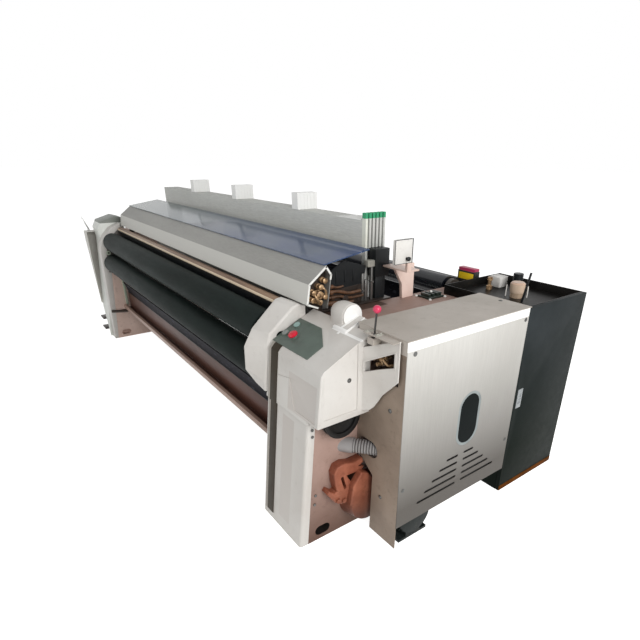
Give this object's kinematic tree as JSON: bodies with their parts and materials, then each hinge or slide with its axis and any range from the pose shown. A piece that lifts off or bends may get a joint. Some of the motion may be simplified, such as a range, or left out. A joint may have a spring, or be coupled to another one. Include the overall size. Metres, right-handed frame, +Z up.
{
  "type": "water-jet power loom",
  "caption": "Wide water-jet power loom with side frames, take-up rollers, splash guard, heald frames, sley, console with buttons and side drive housing.",
  "frame": {"origin": "centre of the footprint on the floor, under the middle of the loom", "axes": "+X along the cloth width towards the drive side and its cabinet, +Y from the cloth side to the warp side, +Z up"},
  "size_m": [4.06, 1.538, 1.413],
  "materials": {
    "pink_paint": "matt enamel on cast iron",
    "bearing_casting": "oiled casting",
    "roller_rubber": "fine ground rubber",
    "guide_bar_paint": "worn enamel",
    "rail_paint": "matt enamel",
    "brown_paint": "oily enamel",
    "guard_aluminium": "dull rolled sheet",
    "splash_glass": "tinted",
    "stave_aluminium": "anodised",
    "machined_steel": "machined",
    "sley_aluminium": "machined",
    "cover_plastic": "satin moulded",
    "stripe_paint": "satin enamel",
    "side_cover_paint": "satin enamel",
    "brushed_panel": "vertical brushing",
    "window_pane": "dark smoked",
    "cabinet_paint": "gloss enamel",
    "handle_chrome": "polished",
    "tray_paint": "gloss enamel",
    "drum_plastic": "moulded",
    "pulley_steel": "turned",
    "casting_paint": "enamel on casting",
    "hose_plastic": "ribbed hose",
    "motor_paint": "enamel",
    "control_paint": "satin enamel",
    "stop_red": "moulded",
    "button_teal": "moulded",
    "button_grey": "moulded",
    "lever_steel": "plated rod",
    "board_white": "sheet",
    "relay_yellow": "moulded"
  },
  "bodies": {
    "frame": {"right_side_frame": "pink_paint", "left_side_frame": "pink_paint", "right_bearing_plate": "bearing_casting", "left_bearing_plate": "bearing_casting", "guide_bar": "guide_bar_paint", "front_lower_rail": "rail_paint", "front_cross_beam": "brown_paint", "rear_cross_beam": "brown_paint", "splash_guard": "guard_aluminium", "guard_bracket_left": "bearing_casting", "guard_bracket_right": "bearing_casting", "splash_glass": "splash_glass", "heald_guide_left": "bearing_casting", "heald_guide_right": "bearing_casting", "backrest_bearing_left": "bearing_casting", "backrest_bearing_right": "bearing_casting", "right_post_cover": "cover_plastic", "post_stripe": "stripe_paint", "console_hood": "cover_plastic", "right_shoulder_cover": "cover_plastic", "left_shoulder_cover": "cover_plastic", "left_post_cover": "cover_plastic", "left_side_cover": "side_cover_paint", "side_panel": "brushed_panel", "side_window": "window_pane", "side_top_cover": "side_cover_paint", "front_guard_plate": "side_cover_paint", "cabinet_body": "cabinet_paint", "cabinet_tray": "tray_paint", "feeder_drum": "drum_plastic", "drive_casting": "casting_paint", "corrugated_hose": "hose_plastic", "drive_motor": "motor_paint", "control_plate": "control_paint", "left_lever": "lever_steel", "upper_bracket": "pink_paint", "signal_board": "board_white", "relay_box": "relay_yellow"},
    "take_up": {"take_up_roller": "roller_rubber"},
    "press": {"press_roller": "roller_rubber"},
    "backrest": {"backrest_roller": "roller_rubber"},
    "pulley": {"drive_pulley": "pulley_steel"},
    "sley": {"rocking_shaft": "machined_steel", "sley_sword_left": "bearing_casting", "sley_sword_right": "bearing_casting", "sley_beam": "sley_aluminium", "reed": "machined_steel"},
    "lever": {"start_lever": "lever_steel"},
    "stop": {"stop_button": "stop_red"},
    "start": {"start_button": "button_teal"},
    "reset": {"reset_button": "button_grey"},
    "door": {"cabinet_door": "cabinet_paint", "door_handle": "handle_chrome"},
    "heald_1": {"heald_frame_1": "stave_aluminium"},
    "heald_2": {"heald_frame_2": "stave_aluminium"},
    "heald_3": {"heald_frame_3": "stave_aluminium"},
    "heald_4": {"heald_frame_4": "stave_aluminium"},
    "heald_5": {"heald_frame_5": "stave_aluminium"},
    "heald_6": {"heald_frame_6": "stave_aluminium"}
  },
  "joints": [
    {"name": "take_up_spin", "type": "hinge", "parent": "frame", "child": "take_up", "pos_m": [0, -0.623, 0.885], "axis": [1, 0, 0], "continuous": true},
    {"name": "press_spin", "type": "hinge", "parent": "frame", "child": "press", "pos_m": [0, -0.653, 0.707], "axis": [1, 0, 0], "continuous": true},
    {"name": "backrest_spin", "type": "hinge", "parent": "frame", "child": "backrest", "pos_m": [0, 0.497, 0.93], "axis": [1, 0, 0], "continuous": true},
    {"name": "pulley_spin", "type": "hinge", "parent": "frame", "child": "pulley", "pos_m": [1.787, -0.571, 0.629], "axis": [1, 0, 0], "continuous": true},
    {"name": "sley_swing", "type": "hinge", "parent": "frame", "child": "sley", "pos_m": [0, -0.243, 0.3], "axis": [1, 0, 0], "range_deg": [0, 9]},
    {"name": "lever_swing", "type": "hinge", "parent": "frame", "child": "lever", "pos_m": [1.867, -0.475, 0.975], "axis": [1, 0, 0], "range_deg": [-12, 12]},
    {"name": "door_swing", "type": "hinge", "parent": "frame", "child": "door", "pos_m": [2.026, 0.765, 0.5], "axis": [0, 0, 1], "range_deg": [0, 110]},
    {"name": "stop_press", "type": "slide", "parent": "frame", "child": "stop", "axis": [0, 0.4436, -0.8962], "range_m": [0, 0.003]},
    {"name": "start_press", "type": "slide", "parent": "frame", "child": "start", "axis": [0, 0.4436, -0.8962], "range_m": [0, 0.003], "stiffness_N_per_m": 400, "springref_m": -0.001},
    {"name": "reset_press", "type": "slide", "parent": "frame", "child": "reset", "axis": [0, 0.4436, -0.8962], "range_m": [0, 0.003], "stiffness_N_per_m": 400, "springref_m": -0.001},
    {"name": "heald_lift_1", "type": "slide", "parent": "frame", "child": "heald_1", "axis": [0, 0, 1], "range_m": [-0.045, 0.045]},
    {"name": "heald_lift_2", "type": "slide", "parent": "frame", "child": "heald_2", "axis": [0, 0, 1], "range_m": [-0.045, 0.045]},
    {"name": "heald_lift_3", "type": "slide", "parent": "frame", "child": "heald_3", "axis": [0, 0, 1], "range_m": [-0.045, 0.045]},
    {"name": "heald_lift_4", "type": "slide", "parent": "frame", "child": "heald_4", "axis": [0, 0, 1], "range_m": [-0.045, 0.045]},
    {"name": "heald_lift_5", "type": "slide", "parent": "frame", "child": "heald_5", "axis": [0, 0, 1], "range_m": [-0.045, 0.045]},
    {"name": "heald_lift_6", "type": "slide", "parent": "frame", "child": "heald_6", "axis": [0, 0, 1], "range_m": [-0.045, 0.045]}
  ],
  "couplings": [
    {"joint": "press_spin", "follows": "take_up_spin", "ratio": -1.0533},
    {"joint": "heald_lift_2", "follows": "heald_lift_1", "ratio": -1},
    {"joint": "heald_lift_3", "follows": "heald_lift_1", "ratio": 1},
    {"joint": "heald_lift_4", "follows": "heald_lift_1", "ratio": -1},
    {"joint": "heald_lift_5", "follows": "heald_lift_1", "ratio": 1},
    {"joint": "heald_lift_6", "follows": "heald_lift_1", "ratio": -1}
  ]
}
